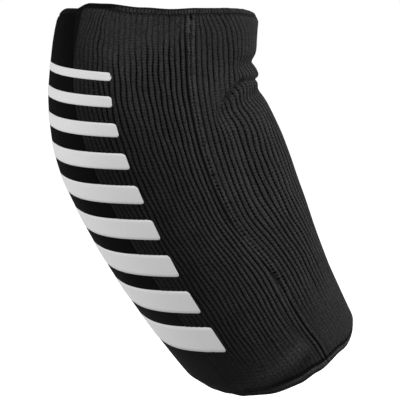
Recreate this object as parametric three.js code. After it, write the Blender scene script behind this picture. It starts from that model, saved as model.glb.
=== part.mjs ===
// A padded elbow guard: a bent, ribbed knit sleeve with a smooth padded strip down the outside of the elbow.
// Millimetres, +Z up. The origin is on the arm's line at the elbow, the pad is on the -X side and the crook
// of the arm on the +X side. Angles run round the sleeve in degrees: 0 on the ridge of the pad, 90 on the -Y
// side, 180 in the crook. A share runs along the sleeve: 0 on the top rim, 1 on the bottom rim.
import * as THREE from "three";

// Driving sizes
const LENGTH = 225; // along the arm's line, rim to rim
const KNIT = 2.2; // wall of the knit under its ribs
const RIB_HEIGHT = 0.8; // how far a rib stands above its valleys
const RIB_FADE = 30; // length over which the ribs flatten towards a rim
const RIB_LEAST = 0.25; // share of a rib's height that is left at a rim
const SIDE_RIBS = 22; // ribs on each side panel
const BACK_RIBS = 46; // ribs round the back panel
const PAD_THICKNESS = 8; // knit and padding together, in the middle of the pad
const PAD_CROWN = 0.6; // how far the pad's face swells above the sleeve
const PAD_TAPER = 18; // length over which the padding thins out towards a rim
const PAD_COLUMNS = 12; // columns of points across the pad
const TOP_HEM = 5.4; // height of the top hem
const BOTTOM_HEM = 4.4; // height of the bottom hem
const HEM_PROUD = 0.5; // how far a hem stands above the knit
const SEAM_WIDTH = 6.4;
const SEAM_PROUD = 0.4;
const GAP = 0.4; // clearance between neighbouring pieces
const MEAN_RADIUS = 50; // turns lengths round the sleeve into angles
const ROUNDNESS = 2.4; // power of a section's outline: 2 is an ellipse, more is boxier
const ROLL_HEIGHT = 10; // length over which the sleeve draws in at a rim

// How far each rim draws the sleeve in: on the ridge, on the two broad sides and in the crook
const TOP_ROLL = { ridge: 3.8, face: 1.5, crook: 8 };
const BOTTOM_ROLL = { ridge: 6.5, face: 1.5, crook: 6 };

// Sections across the sleeve, evenly spaced from rim to rim: the points on the ridge of the pad (outer) and
// in the crook (inner), half the depth along Y, and the angles of the pad's edge and of the side seam. They
// are the top rim, upper arm, crook, elbow, below the elbow, forearm, lower arm and bottom rim.
const SECTIONS = [
  { outerX: -80, outerZ: 111, innerX: 37, innerZ: 111, halfDepth: 46, padEdge: 19, seam: 94 },
  { outerX: -84, outerZ: 87, innerX: 35.4, innerZ: 89, halfDepth: 47, padEdge: 21.5, seam: 96.5 },
  { outerX: -86, outerZ: 56, innerX: 37, innerZ: 66, halfDepth: 48, padEdge: 25, seam: 98.5 },
  { outerX: -81, outerZ: 22, innerX: 51.5, innerZ: 38, halfDepth: 48, padEdge: 28, seam: 95.5 },
  { outerX: -66, outerZ: -12, innerX: 63.8, innerZ: 7, halfDepth: 47, padEdge: 30, seam: 97 },
  { outerX: -47, outerZ: -45, innerX: 76.4, innerZ: -25, halfDepth: 46, padEdge: 32, seam: 108 },
  { outerX: -25, outerZ: -77, innerX: 90.3, innerZ: -54, halfDepth: 44, padEdge: 33, seam: 109 },
  { outerX: 2, outerZ: -112, innerX: 104, innerZ: -81, halfDepth: 42, padEdge: 35.5, seam: 111.5 },
];

// How far the top rim rises above its section, and the bottom rim falls below its own, at angles from the
// ridge.
const RIMS = [
  { angle: 0, rise: 2, fall: 5 },
  { angle: 14, rise: 2, fall: 5.8 },
  { angle: 25, rise: 4.4, fall: 7 },
  { angle: 36, rise: 4.3, fall: 9 },
  { angle: 60, rise: 2.2, fall: 11 },
  { angle: 80, rise: 1, fall: 10.5 },
  { angle: 100, rise: 1.8, fall: 8.4 },
  { angle: 130, rise: 2, fall: 4.2 },
  { angle: 160, rise: 1, fall: -0.6 },
  { angle: 180, rise: 0, fall: -3.5 },
];

// Folds on both sides of the crook: each runs from one angle and share to another, and sinks by its depth
// over its width. A negative depth is a swelling.
const FOLDS = [
  { name: "upper pinch", angle: 180, share: 0.18, toAngle: 140, toShare: 0.2, depth: 3.4, width: 6 },
  { name: "crook roll", angle: 180, share: 0.222, toAngle: 135, toShare: 0.245, depth: -0.3, width: 7 },
  { name: "crook tuck", angle: 180, share: 0.26, toAngle: 118, toShare: 0.34, depth: 2.4, width: 6 },
  { name: "lower roll", angle: 180, share: 0.33, toAngle: 130, toShare: 0.38, depth: -0.6, width: 11 },
  { name: "slack", angle: 125, share: 0.45, toAngle: 105, toShare: 0.6, depth: 1.4, width: 10 },
  { name: "rim ridge", angle: 60, share: 0.95, toAngle: 115, toShare: 0.93, depth: -1.2, width: 7 },
];

// Shares of the rows of points along each panel, closer together where the folds are.
const ROWS = [
  0.0258, 0.05, 0.1, 0.145, 0.18, 0.215, 0.25, 0.285, 0.325, 0.38, 0.45, 0.54, 0.63, 0.72, 0.81, 0.89, 0.95,
  0.9786,
];

const GAP_ANGLE = THREE.MathUtils.radToDeg(GAP / 2 / MEAN_RADIUS);
const SEAM_ANGLE = THREE.MathUtils.radToDeg(SEAM_WIDTH / 2 / MEAN_RADIUS);

// A smooth curve through one column of the section table, going straight on past its ends.
function sectionValue(column, place) {
  const last = SECTIONS.length - 1;
  const step = THREE.MathUtils.clamp(Math.floor(place * last), 0, last - 1);
  const part = place * last - step;
  const value = (k) => SECTIONS[k][column];
  const here = value(step);
  const next = value(step + 1);
  const before = step > 0 ? value(step - 1) : 2 * here - next;
  const after = step + 2 <= last ? value(step + 2) : 2 * next - here;
  const slope = (next - before) * part;
  const bend = (2 * before - 5 * here + 4 * next - after) * part ** 2;
  const twist = (3 * here - before - 3 * next + after) * part ** 3;
  return here + (slope + bend + twist) / 2;
}

// The angle from the ridge, the same on both sides of the sleeve.
function fromRidge(angle) {
  const turn = THREE.MathUtils.euclideanModulo(angle + 180, 360) - 180;
  return Math.abs(turn);
}

function rimAt(angle) {
  const side = fromRidge(angle);
  const step = Math.min(RIMS.findLastIndex((row) => row.angle <= side), RIMS.length - 2);
  const [low, high] = [RIMS[step], RIMS[step + 1]];
  const blend = THREE.MathUtils.smoothstep(side, low.angle, high.angle);
  return {
    rise: THREE.MathUtils.lerp(low.rise, high.rise, blend),
    fall: THREE.MathUtils.lerp(low.fall, high.fall, blend),
  };
}

// How far the folds sink the surface at an angle and share.
function foldDepth(angle, share) {
  const across = (degrees) => THREE.MathUtils.degToRad(degrees) * MEAN_RADIUS;
  const point = new THREE.Vector3(across(fromRidge(angle)), share * LENGTH, 0);
  let depth = 0;
  for (const fold of FOLDS) {
    const start = new THREE.Vector3(across(fold.angle), fold.share * LENGTH, 0);
    const end = new THREE.Vector3(across(fold.toAngle), fold.toShare * LENGTH, 0);
    const nearest = new THREE.Line3(start, end).closestPointToPoint(point, true, new THREE.Vector3());
    depth += fold.depth * Math.exp(-((nearest.distanceTo(point) / fold.width) ** 2));
  }
  return depth;
}

// How far the nearer rim draws the sleeve in, where the sleeve is a span long.
function rimRoll(angle, share, span) {
  const { ridge, face, crook } = share < 0.5 ? TOP_ROLL : BOTTOM_ROLL;
  const cosine = Math.cos(THREE.MathUtils.degToRad(angle));
  const end = cosine > 0 ? ridge : crook;
  const toRim = Math.max(1 - (Math.min(share, 1 - share) * span) / ROLL_HEIGHT, 0);
  return (face + (end - face) * cosine ** 2) * toRim ** 2;
}

// A point on the outside of the knit, under its ribs.
function facePoint(angle, share) {
  const { rise, fall } = rimAt(angle);
  const span = LENGTH + rise + fall;
  const place = (share * span - rise) / LENGTH;
  const outer = new THREE.Vector3(sectionValue("outerX", place), 0, sectionValue("outerZ", place));
  const inner = new THREE.Vector3(sectionValue("innerX", place), 0, sectionValue("innerZ", place));
  const middle = outer.clone().add(inner).divideScalar(2);
  const ridge = outer.clone().sub(middle);
  const halfWidth = ridge.length();
  const turn = THREE.MathUtils.degToRad(angle);
  const wide = (Math.abs(Math.cos(turn)) / halfWidth) ** ROUNDNESS;
  const deep = (Math.abs(Math.sin(turn)) / sectionValue("halfDepth", place)) ** ROUNDNESS;
  const outline = (wide + deep) ** (-1 / ROUNDNESS);
  const radius = outline - rimRoll(angle, share, span) - foldDepth(angle, share);
  const point = middle.addScaledVector(ridge.normalize(), radius * Math.cos(turn));
  point.y = -radius * Math.sin(turn);
  return point;
}

// The point that lies a height above the face, or below it where the height is negative.
function offsetPoint(angle, share, height) {
  const [turn, step] = [0.5, 0.002];
  const round = facePoint(angle + turn, share).sub(facePoint(angle - turn, share));
  const along = facePoint(angle, share + step).sub(facePoint(angle, share - step));
  const outwards = along.cross(round).normalize();
  return facePoint(angle, share).addScaledVector(outwards, height);
}

// Collects points and triangles into one closed body.
class Body {
  constructor() {
    this.points = [];
    this.faces = [];
  }

  add(point) {
    this.points.push(point);
    return this.points.length - 1;
  }

  quad(a, b, c, d) {
    this.faces.push(a, b, c, a, c, d);
  }

  geometry() {
    const geometry = new THREE.BufferGeometry().setFromPoints(this.points);
    geometry.setIndex(this.faces);
    geometry.computeVertexNormals();
    return geometry;
  }
}

// Joins the many points along an outer edge to the few along an inner edge. Turned edges face down the
// sleeve.
function joinEdges(body, outer, inner, turned) {
  const many = (outer.length - 1) / (inner.length - 1);
  const face = (a, b, c) => body.faces.push(...(turned ? [a, c, b] : [a, b, c]));
  for (let cell = 0; cell + 1 < inner.length; cell += 1) {
    const half = cell * many + Math.floor(many / 2);
    for (let k = cell * many; k < (cell + 1) * many; k += 1) {
      face(outer[k], outer[k + 1], inner[k < half ? cell : cell + 1]);
    }
    face(outer[half], inner[cell + 1], inner[cell]);
  }
}

// One piece of the sleeve's wall, from rim hem to rim hem. angleAt(across, share) gives its angles,
// height(across, share) how far its face stands above the sleeve's, and depth(across, share) how far its
// inside lies below.
function wallPiece({ angleAt, outerSteps, innerSteps, height, depth }) {
  const body = new Body();
  const grid = (steps, offset) =>
    Array.from({ length: steps + 1 }, (_, column) => {
      const across = column / steps;
      const place = (share) => offsetPoint(angleAt(across, share), share, offset(across, share));
      return ROWS.map((share) => body.add(place(share)));
    });
  const outer = grid(outerSteps, height);
  const inner = grid(innerSteps, (across, share) => -depth(across, share));
  const lastRow = ROWS.length - 1;
  for (let row = 0; row < lastRow; row += 1) {
    for (let k = 0; k < outerSteps; k += 1) {
      body.quad(outer[k][row], outer[k][row + 1], outer[k + 1][row + 1], outer[k + 1][row]);
    }
    for (let k = 0; k < innerSteps; k += 1) {
      body.quad(inner[k][row], inner[k + 1][row], inner[k + 1][row + 1], inner[k][row + 1]);
    }
    const [outerEnd, innerEnd] = [outer[outerSteps], inner[innerSteps]];
    body.quad(inner[0][row + 1], outer[0][row + 1], outer[0][row], inner[0][row]);
    body.quad(innerEnd[row], outerEnd[row], outerEnd[row + 1], innerEnd[row + 1]);
  }
  const edge = (columns, row) => columns.map((column) => column[row]);
  joinEdges(body, edge(outer, 0), edge(inner, 0), false);
  joinEdges(body, edge(outer, lastRow), edge(inner, lastRow), true);
  return body.geometry();
}

// How high the ribs stand at a share: full in the middle, flattening towards both rims.
function ribHeight(share) {
  const toRim = Math.min(share, 1 - share) * LENGTH;
  return RIB_HEIGHT * THREE.MathUtils.clamp(toRim / RIB_FADE, RIB_LEAST, 1);
}

function ribbedPanel(angleAt, ribs) {
  return wallPiece({
    angleAt,
    outerSteps: ribs * 2,
    innerSteps: ribs / 2,
    height: (across, share) => (Math.round(across * ribs * 2) % 2 ? ribHeight(share) : 0),
    depth: () => KNIT,
  });
}

function padPanel(angleAt) {
  const crown = (across) => Math.sqrt(1 - (2 * across - 1) ** 2);
  const ends = (share) => THREE.MathUtils.smoothstep(Math.min(share, 1 - share) * LENGTH, 0, PAD_TAPER);
  const swell = (across, share) => crown(across) * ends(share);
  return wallPiece({
    angleAt,
    outerSteps: PAD_COLUMNS,
    innerSteps: PAD_COLUMNS,
    height: (across, share) => PAD_CROWN * swell(across, share),
    depth: (across, share) => KNIT + (PAD_THICKNESS - KNIT - PAD_CROWN) * swell(across, share),
  });
}

function seamStrip(angleAt) {
  return wallPiece({
    angleAt,
    outerSteps: 4,
    innerSteps: 2,
    height: (across) => SEAM_PROUD * Math.sin(Math.PI * across),
    depth: () => KNIT,
  });
}

// A strip of angles between two edges that sway along the sleeve.
function strip(from, to) {
  return (across, share) => THREE.MathUtils.lerp(from(share), to(share), across);
}

const padEdge = (share) => sectionValue("padEdge", share);
const seam = (share) => sectionValue("seam", share);
const toPad = (share) => padEdge(share) - GAP_ANGLE;
const fromPad = (share) => padEdge(share) + GAP_ANGLE;
const toSeam = (share) => seam(share) - SEAM_ANGLE - GAP_ANGLE;
const fromSeam = (share) => seam(share) + SEAM_ANGLE + GAP_ANGLE;
const seamStart = (share) => seam(share) - SEAM_ANGLE + GAP_ANGLE;
const seamEnd = (share) => seam(share) + SEAM_ANGLE - GAP_ANGLE;
const far = (edge) => (share) => 360 - edge(share);

const padStrip = strip((share) => -toPad(share), toPad);
const nearSide = strip(fromPad, toSeam);
const nearSeam = strip(seamStart, seamEnd);
const backStrip = strip(fromSeam, far(fromSeam));
const farSeam = strip(far(seamEnd), far(seamStart));
const farSide = strip(far(toSeam), far(fromPad));

// A hem: a closed band round a rim, between two shares, with its columns in line with those of the panels.
function hemBand(fromShare, toShare) {
  const strips = [
    { angleAt: padStrip, steps: PAD_COLUMNS / 2 },
    { angleAt: nearSide, steps: SIDE_RIBS / 2 },
    { angleAt: nearSeam, steps: 1 },
    { angleAt: backStrip, steps: BACK_RIBS / 2 },
    { angleAt: farSeam, steps: 1 },
    { angleAt: farSide, steps: SIDE_RIBS / 2 },
  ];
  const columns = strips.flatMap(({ angleAt, steps }) => {
    const places = Array.from({ length: steps + 1 }, (_, k) => k / steps);
    return places.map((across) => (share) => angleAt(across, share));
  });
  const body = new Body();
  const loop = (share, height) =>
    columns.map((angleAt) => body.add(offsetPoint(angleAt(share), share, height)));
  const outerTop = loop(fromShare, HEM_PROUD);
  const outerFoot = loop(toShare, HEM_PROUD);
  const innerTop = loop(fromShare, -KNIT);
  const innerFoot = loop(toShare, -KNIT);
  columns.forEach((_, k) => {
    const next = (k + 1) % columns.length;
    body.quad(outerTop[k], outerFoot[k], outerFoot[next], outerTop[next]);
    body.quad(innerTop[k], innerTop[next], innerFoot[next], innerFoot[k]);
    body.quad(outerTop[k], outerTop[next], innerTop[next], innerTop[k]);
    body.quad(outerFoot[k], innerFoot[k], innerFoot[next], outerFoot[next]);
  });
  return body.geometry();
}

function knit(name, color, roughness) {
  return new THREE.MeshStandardMaterial({ name, color, roughness, metalness: 0 });
}

const ribKnit = knit("rib knit", 0x2a2a2c, 0.9);
const padKnit = knit("pad knit", 0x151516, 0.85);
const hemKnit = knit("hem knit", 0x222224, 0.9);

const guard = new THREE.Group();

function addPiece(name, geometry, material) {
  const mesh = new THREE.Mesh(geometry, material);
  mesh.name = name;
  guard.add(mesh);
}

addPiece("pad_panel", padPanel(padStrip), padKnit);
addPiece("side_panel_near", ribbedPanel(nearSide, SIDE_RIBS), ribKnit);
addPiece("side_panel_far", ribbedPanel(farSide, SIDE_RIBS), ribKnit);
addPiece("back_panel", ribbedPanel(backStrip, BACK_RIBS), ribKnit);
addPiece("side_seam_near", seamStrip(nearSeam), ribKnit);
addPiece("side_seam_far", seamStrip(farSeam), ribKnit);
addPiece("top_hem", hemBand(0, TOP_HEM / LENGTH), hemKnit);
addPiece("bottom_hem", hemBand(1 - BOTTOM_HEM / LENGTH, 1), hemKnit);

export default guard;
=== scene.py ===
"""An arm guard: a bent rib-knit elbow sleeve with a padded strip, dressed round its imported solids."""
import math
from collections.abc import Callable
from dataclasses import dataclass

import bpy
import numpy as np
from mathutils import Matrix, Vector


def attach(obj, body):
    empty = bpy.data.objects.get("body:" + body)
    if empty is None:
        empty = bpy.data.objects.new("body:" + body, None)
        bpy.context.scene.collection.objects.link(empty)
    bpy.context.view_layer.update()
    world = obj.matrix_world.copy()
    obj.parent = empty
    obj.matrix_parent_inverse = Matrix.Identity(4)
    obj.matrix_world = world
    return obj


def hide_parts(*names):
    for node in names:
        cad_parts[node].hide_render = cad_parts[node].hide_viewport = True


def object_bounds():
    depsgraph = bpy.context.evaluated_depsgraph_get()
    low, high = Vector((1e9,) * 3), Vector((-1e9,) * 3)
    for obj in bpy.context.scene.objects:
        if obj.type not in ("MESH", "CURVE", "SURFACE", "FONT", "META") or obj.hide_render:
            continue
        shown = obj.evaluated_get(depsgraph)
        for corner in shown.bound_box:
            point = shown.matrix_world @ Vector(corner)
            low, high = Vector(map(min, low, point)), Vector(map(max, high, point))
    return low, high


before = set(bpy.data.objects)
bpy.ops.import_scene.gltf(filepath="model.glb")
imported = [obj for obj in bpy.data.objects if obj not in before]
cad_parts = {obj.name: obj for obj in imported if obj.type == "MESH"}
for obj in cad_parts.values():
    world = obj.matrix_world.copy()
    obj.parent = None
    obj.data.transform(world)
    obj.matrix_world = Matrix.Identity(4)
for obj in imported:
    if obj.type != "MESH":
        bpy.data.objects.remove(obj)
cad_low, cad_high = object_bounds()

# Sizes of the sleeve, in millimetres, with its rib counts and its outline's power, as in its solids
MM = 0.001
LENGTH = 225.0
KNIT = 2.2
SIDE_RIBS = 22
BACK_RIBS = 46
PAD_THICKNESS = 8.0
PAD_CROWN = 0.6
PAD_TAPER = 18.0
TOP_HEM = 5.4
BOTTOM_HEM = 4.4
HEM_PROUD = 0.5
SEAM_WIDTH = 6.4
MEAN_RADIUS = 50.0
ROUNDNESS = 2.4
ROLL_HEIGHT = 10.0

# How far the sleeve draws in at a rim, in millimetres: on the ridge of the pad, on the sides, in the crook
TOP_ROLL = (3.8, 1.5, 8.0)
BOTTOM_ROLL = (6.5, 1.5, 6.0)

# Sizes of the fine detail, in millimetres
GAP = 0.03
RIB_HEIGHT = 1.2
SEAM_RIB = 1.1
COURSE_PITCH = 1.8
STITCH_PITCH = 2.0
GROOVE_DEPTH = 0.8
GROOVE_WIDTH = 1.2
STEP_HEIGHT = 0.5
PRINT_FILM = 0.25

# Ribs: how far they differ in height, how uneven their spacing is, how far they gather at the top rim
RIB_UNEVENNESS = 0.12
SIDE_SPREAD = 0.23
BACK_SPREAD = 0.2
GATHER = 0.35
GATHER_REACH = 0.06

TOP_SHARE = TOP_HEM / LENGTH
BOTTOM_SHARE = 1 - BOTTOM_HEM / LENGTH
GAP_SHARE = GAP / LENGTH
GAP_ANGLE = math.degrees(GAP / 2 / MEAN_RADIUS)
SEAM_ANGLE = math.degrees(SEAM_WIDTH / 2 / MEAN_RADIUS)

# Sections across the sleeve from rim to rim: the points on the ridge of the pad (outer) and in the
# crook (inner), half the depth along Y, and the angles of the pad's edge and of the side seam
SECTION_COLUMNS = ("outer_x", "outer_z", "inner_x", "inner_z", "half_depth", "pad_edge", "seam")
SECTIONS = {
    "top rim": (-80, 111, 37, 111, 46, 19, 94),
    "upper arm": (-84, 87, 35.4, 89, 47, 21.5, 96.5),
    "crook": (-86, 56, 37, 66, 48, 25, 98.5),
    "elbow": (-81, 22, 51.5, 38, 48, 28, 95.5),
    "below elbow": (-66, -12, 63.8, 7, 47, 30, 97),
    "forearm": (-47, -45, 76.4, -25, 46, 32, 108),
    "lower arm": (-25, -77, 90.3, -54, 44, 33, 109),
    "bottom rim": (2, -112, 104, -81, 42, 35.5, 111.5),
}

# Angle from the ridge, rise of the top rim on the near and on the far side, fall of the bottom rim.
# The solids' rims lie within about 1.2 mm of these
RIMS = np.array([
    (0, 2, 2, 5),
    (14, 2, 2, 5.8),
    (25, 5.6, 3.2, 7),
    (36, 5.1, 3.4, 9),
    (60, 2.2, 2.2, 11),
    (80, 1, 1, 10.5),
    (100, 2, 2, 8.4),
    (130, 2.5, 2.5, 4.2),
    (160, 0.5, 0.5, -0.6),
    (180, -0.5, -0.5, -3.5),
])

# Folds: angle and share where each starts, angle and share where it ends, depth (negative swells), width
FOLDS = {
    "upper pinch": (180, 0.18, 140, 0.2, 3.4, 6),
    "crook roll": (180, 0.222, 135, 0.245, -0.3, 7),
    "crook tuck": (180, 0.26, 118, 0.34, 2.4, 6),
    "lower roll": (180, 0.33, 130, 0.38, -0.6, 11),
    "slack": (125, 0.45, 105, 0.6, 1.4, 10),
    "rim ridge": (60, 0.95, 115, 0.93, -1.2, 7),
}

# Creases too fine for the solids, in the same columns
CREASES = {
    "tuck lip": (168, 0.236, 132, 0.24, -0.3, 3),
    "crook line": (165, 0.252, 136, 0.25, 0.9, 1.8),
    "tuck edge": (136, 0.25, 121, 0.297, 1.2, 1.8),
    "tuck end": (121, 0.297, 113, 0.335, 0.4, 2.5),
    "roll under the tuck": (180, 0.282, 150, 0.278, -0.9, 3.5),
    "seam pucker": (94, 0.027, 95.5, 0.037, 1.1, 1.2),
    "low ridge": (43, 0.972, 96, 0.927, -1.3, 3.5),
    "low trough": (48, 0.982, 102, 0.952, 0.8, 3),
}

# Lines of painted shade along creases and troughs, painted light along the low ridge (a negative darkening)
# and a darker patch at the foot of the seam, in the same columns, with the darkening in place of the depth
PAINTED_LIGHT_AND_SHADE_LINES = {
    "crook line": (175, 0.252, 136, 0.25, 0.35, 1.8),
    "tuck edge": (136, 0.25, 121, 0.297, 0.4, 1.8),
    "seam pucker": (94, 0.027, 95.5, 0.037, 0.9, 1.2),
    "low ridge": (43, 0.972, 96, 0.927, -0.42, 4),
    "low trough": (48, 0.984, 97, 0.957, 0.4, 4),
    "foot of the seam": (85, 0.945, 103, 0.9, 0.17, 14),
}

# The line of the crook's tuck, as the share at each angle, and how many ribs the pattern slides there
TUCK_ANGLES = (105, 114, 121, 124, 130, 137, 158, 180)
TUCK_SHARES = (0.36, 0.329, 0.296, 0.286, 0.258, 0.25, 0.254, 0.256)
TUCK_SLIDE = -2.0

# Wander of the ribs: swing in degrees, waves from rim to rim, degrees round the sleeve for a wave
WANDERS = ((0.22, 7, 31), (0.2, 13, -19))

# Where the ribs lean over at the foot of the seam: angle, share, shift and reach in degrees, reach as a share
SWAY = (98, 0.955, 3, 12, 0.03)


# The form of the sleeve
def smooth(value, low, high):
    """A soft step from nothing at low to one at high."""
    part = np.clip((value - low) / (high - low), 0, 1)
    return part * part * (3 - 2 * part)


def bell(off, width, power=2):
    """One where off is nothing, dying out over a width on both sides of it."""
    return np.exp(-((off / width) ** power))


def between(start, end, part):
    """A value part of the way from a start to an end."""
    return start + (end - start) * part


def section_values(place):
    """Each column of the section table on a smooth curve, going straight on past the ends."""
    table = np.array(list(SECTIONS.values()), float)
    padded = np.vstack([2 * table[0] - table[1], table, 2 * table[-1] - table[-2]])
    steps = np.asarray(place, float) * (len(table) - 1)
    step = np.clip(np.floor(steps).astype(int), 0, len(table) - 2)
    part = (steps - step)[..., None]
    before, here, after, beyond = (padded[step + k] for k in range(4))
    slope = (after - before) * part
    bend = (2 * before - 5 * here + 4 * after - beyond) * part**2
    twist = (3 * here - before - 3 * after + beyond) * part**3
    values = here + (slope + bend + twist) / 2
    return {name: values[..., k] for k, name in enumerate(SECTION_COLUMNS)}


def from_ridge(angle):
    """The angle from the ridge of the pad, the same on both sides."""
    return np.abs((np.asarray(angle, float) + 180) % 360 - 180)


def rim_offsets(angle):
    """How far the top rim rises and the bottom rim falls at an angle."""
    side = from_ridge(angle)
    low = np.clip(np.searchsorted(RIMS[:, 0], side, side="right") - 1, 0, len(RIMS) - 2)
    part = smooth(side, RIMS[low, 0], RIMS[low + 1, 0])
    near, far, fall = (between(RIMS[low, k], RIMS[low + 1, k], part) for k in (1, 2, 3))
    return np.where(np.asarray(angle) % 360 < 180, near, far), fall


def line_sum(lines, angle, share):
    """The sum, at each point, of a table of lines that each die out over their width."""
    across = np.radians(from_ridge(angle)) * MEAN_RADIUS
    along = np.asarray(share, float) * LENGTH
    total = np.zeros_like(across + along)
    for start_angle, start_share, end_angle, end_share, most, width in lines:
        start = np.array([math.radians(start_angle) * MEAN_RADIUS, start_share * LENGTH])
        end = np.array([math.radians(end_angle) * MEAN_RADIUS, end_share * LENGTH])
        way = end - start
        part = np.clip(((across - start[0]) * way[0] + (along - start[1]) * way[1]) / (way @ way), 0, 1)
        off = np.hypot(across - start[0] - part * way[0], along - start[1] - part * way[1])
        total = total + most * bell(off, width)
    return total


def face_points(angle, share):
    """Points on the outside of the knit, under its ribs, in metres."""
    rise, fall = rim_offsets(angle)
    span = LENGTH + rise + fall
    row = section_values((share * span - rise) / LENGTH)
    turn = np.radians(angle)
    ridge_x, ridge_z = (row["outer_x"] - row["inner_x"]) / 2, (row["outer_z"] - row["inner_z"]) / 2
    half_width = np.hypot(ridge_x, ridge_z)
    wide = (np.abs(np.cos(turn)) / half_width) ** ROUNDNESS
    deep = (np.abs(np.sin(turn)) / row["half_depth"]) ** ROUNDNESS
    to_rim = np.clip(1 - np.minimum(share, 1 - share) * span / ROLL_HEIGHT, 0, 1)
    ridge, face, crook = (np.where(share < 0.5, top, low) for top, low in zip(TOP_ROLL, BOTTOM_ROLL))
    end = np.where(np.cos(turn) > 0, ridge, crook)
    roll = between(face, end, np.cos(turn) ** 2) * to_rim**2
    folded = line_sum((*FOLDS.values(), *CREASES.values()), angle, share)
    radius = (wide + deep) ** (-1 / ROUNDNESS) - roll - folded
    out = radius * np.cos(turn) / half_width
    x = (row["outer_x"] + row["inner_x"]) / 2 + ridge_x * out
    z = (row["outer_z"] + row["inner_z"]) / 2 + ridge_z * out
    return np.stack([x, -radius * np.sin(turn), z], -1) * MM


def unit(vectors):
    return vectors / np.linalg.norm(vectors, axis=-1, keepdims=True)


def directions(angle, share):
    """The outward direction, and the direction down the sleeve, at each point."""
    turn, step = 0.4, 0.0015
    round_way = face_points(angle + turn, share) - face_points(angle - turn, share)
    down = face_points(angle, share + step) - face_points(angle, share - step)
    return unit(np.cross(down, round_way)), unit(down)


def lifted(angle, share, height):
    """Points at a height in millimetres above the face, or below it where that is negative."""
    outward, _ = directions(angle, share)
    return face_points(angle, share) + outward * (np.asarray(height) * MM)[..., None]


# The edges of the panels, as angles at a share
def pad_edge(share):
    return section_values(share)["pad_edge"]


def seam_line(share):
    return section_values(share)["seam"]


def overlap(share):
    """How far the back panel laps over the side panel: not at all but near the bottom rim."""
    return smooth(share, 0.74, 0.82)


def leaning(angle, across, share):
    """Angles of ribs with their lean and a slight wander, which die out at the panel's edges."""
    side = from_ridge(angle)
    way = np.where(angle > 180, -1, 1)
    middle, height, shift, reach, stretch = SWAY
    lean = sum(swing * np.sin(math.tau * (waves * share + side / wave)) for swing, waves, wave in WANDERS)
    lean = lean + shift * bell(side - middle, reach) * np.exp(-np.abs(share - height) / stretch)
    return angle + way * lean * (1 - np.abs(2 * across - 1) ** 6)


# Angles across each panel, at a part of the way across it and a share
def pad_angles(across, share):
    return (2 * across - 1) * (pad_edge(share) - GAP_ANGLE)


def side_angles(across, share):
    start = pad_edge(share) + GAP_ANGLE
    end = seam_line(share) - SEAM_ANGLE - GAP_ANGLE
    spaced = across - SIDE_SPREAD * across * (1 - across)
    return leaning(between(start, end, spaced), across, share)


def seam_angles(across, share):
    return seam_line(share) + (2 * across - 1) * (SEAM_ANGLE - GAP_ANGLE)


def back_angles(across, share):
    start = seam_line(share) + SEAM_ANGLE + GAP_ANGLE
    gathered = 1 + GATHER * bell(share, GATHER_REACH)
    centre = 1 - np.abs(2 * across - 1)
    half = (centre + BACK_SPREAD * centre * (1 - centre)) ** gathered / 2
    spaced = np.where(across < 0.5, half, 1 - half)
    return leaning(between(start, 360 - start, spaced), across, share)


# Painted shade beside the pad, at the top and lower down: its darkness and its reach in degrees
PAD_PAINTED_SHADE_TOP = (0.45, 25.0)
PAD_PAINTED_SHADE_LOW = (0.7, 62.0)

# The black wedge beside the top of the pad: darkness, degrees wide at the rim, share where it ends
WEDGE = (0.85, 5.5, 0.22)

# Painted shade on the side of the elbow that turns down: darkness, share of its middle, reach as a share
ELBOW_PAINTED_SHADE = (0.17, 0.33, 0.15)

# Painted light on the back: how much lighter it is below its top, and how many times that it loses
# at the bottom rim
BACK_PAINTED_LIGHT = 0.1
BACK_PAINTED_LIGHT_LOSS = 1.4

# How much lighter a seam is than the panels, on the upper arm and below the elbow
SEAM_GAINS = (0.4, 0.3)

# Half widths of lines of painted shade: along top and bottom hems and rims in millimetres, along a seam's
# edges in degrees. The bottom hem's line lies a little above the hem
HEM_LINES = (1.0, 1.2)
RIM_LINES = (2.4, 2.05)
NEAR_EDGE_LINE = 1.75
FAR_EDGE_LINE = 1.225
LOW_HEM_SHIFT = 0.72

# How dark that painted shade is
TOP_HEM_SHADE = 0.85
TOP_RIM_SHADE = 0.87
BACK_RIM_LOSS = 0.4
LOW_SHADE = 0.92
NEAR_EDGE_SHADE = 0.97
BOLD_LOSS = 0.05
FAR_EDGE_SHADE = 0.6


def pad_shade(side, share):
    """How light the yarn is beside the pad: painted shade there, and a black wedge below the top rim."""
    edge = pad_edge(share)
    lower = smooth(share, 0.1, 0.5)
    most, reach = (between(top, low, lower) for top, low in zip(PAD_PAINTED_SHADE_TOP, PAD_PAINTED_SHADE_LOW))
    shade, width, end = WEDGE
    wedge = width * np.clip(1 - share / end, 0, 1)
    in_wedge = smooth(edge + wedge - side, -1, 1) * np.minimum(wedge, 1)
    return (1 - most * (1 - smooth(side, edge, edge + reach))) * (1 - shade * in_wedge)


def arm_shade(side, share):
    """How light the yarn is: painted shade on the elbow, painted light on the back, lighter seams."""
    shade, middle, reach = ELBOW_PAINTED_SHADE
    elbow = shade * bell(share - middle, reach) * (1 - smooth(side, 75, 95))
    lighter = smooth(share, 0.15, 0.25) - BACK_PAINTED_LIGHT_LOSS * smooth(share, 0.74, 0.9)
    painted_back_light = BACK_PAINTED_LIGHT * smooth(side, 95, 115) * lighter
    gain = between(*SEAM_GAINS, smooth(share, 0.3, 0.5))
    on_seam = gain * bell(side - seam_line(share), SEAM_ANGLE, 4)
    return (1 - elbow) * (1 + painted_back_light) * (1 + on_seam)


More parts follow.
